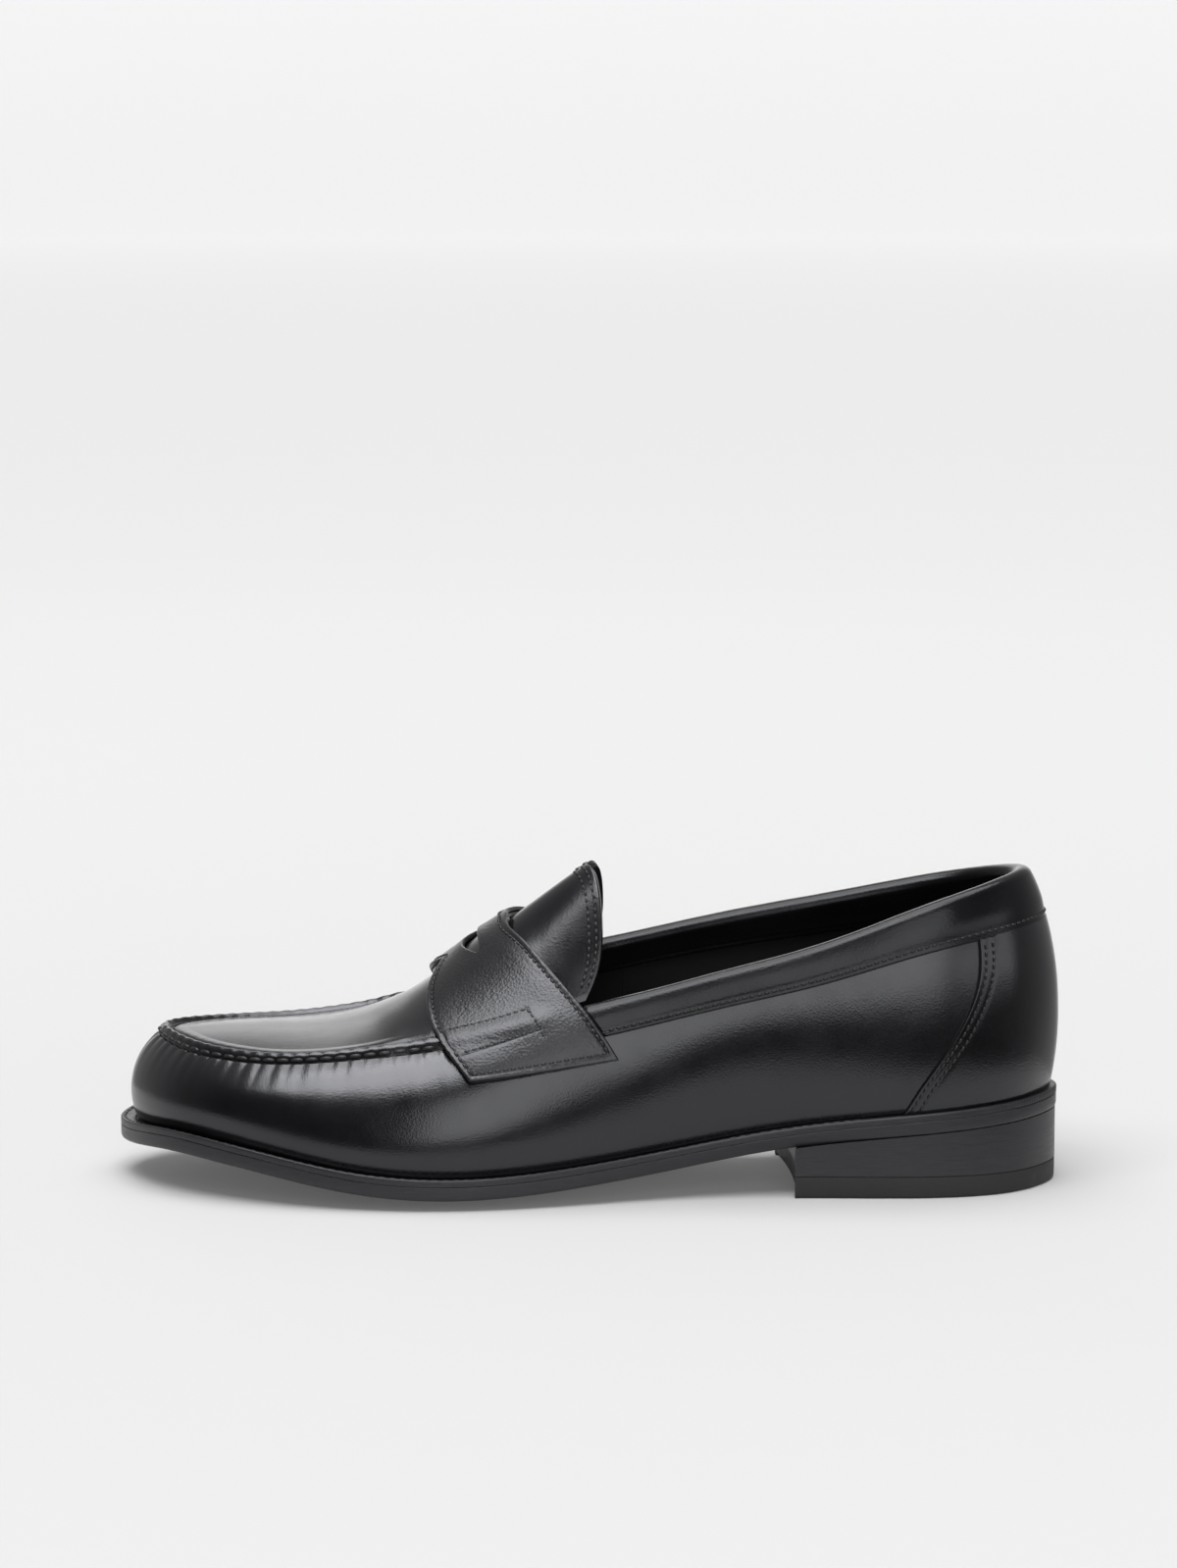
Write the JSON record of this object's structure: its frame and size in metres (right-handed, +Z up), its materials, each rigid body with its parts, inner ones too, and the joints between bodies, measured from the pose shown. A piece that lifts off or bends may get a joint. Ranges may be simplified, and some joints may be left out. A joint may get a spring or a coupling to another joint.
{
  "type": "penny loafer",
  "caption": "Slip-on shoe for the left foot with a raised-seam apron, a saddle strap with a slit, a welted leather sole and a low stacked heel.",
  "frame": {"origin": "on the ground, under the middle of the shoe's box", "axes": "+X to the toe, +Y to the outer side of the foot, +Z up"},
  "size_m": [0.292, 0.1048, 0.0993],
  "materials": {
    "black_calf": "fine-grained black calf, waxed to a soft gloss",
    "sole_leather": "vegetable-tanned sole leather, edges inked black and burnished",
    "lining_leather": "smooth black lining leather, matt",
    "grip_suede": "black suede",
    "rubber": "moulded black rubber, matt",
    "thread": "waxed black thread",
    "board": "brown insole board",
    "cork": "ground cork paste",
    "stiffener": "stiffening sheet",
    "steel": "plain steel"
  },
  "bodies": {
    "root": {"apron": "black_calf", "apron_edge_stitching": "thread", "apron_lining": "lining_leather", "apron_seam_thread": "thread", "collar": "black_calf", "collar_stitching": "thread", "cork_filler": "cork", "heel_cover": "black_calf", "heel_cover_stitching": "thread", "heel_grip": "grip_suede", "heel_lift_1": "sole_leather", "heel_lift_2": "sole_leather", "heel_lift_3": "sole_leather", "heel_nails": "steel", "heel_stiffener": "stiffener", "insole": "board", "outsole": "sole_leather", "outsole_stitching": "thread", "quarter_lining": "lining_leather", "shank": "steel", "sock_lining": "lining_leather", "strap": "black_calf", "strap_backing": "black_calf", "strap_box_stitching": "thread", "strap_stitching": "thread", "toe_puff": "stiffener", "tongue_stitching": "thread", "top_piece": "rubber", "vamp": "black_calf", "vamp_lining": "lining_leather", "welt": "sole_leather"}
  },
  "joints": []
}
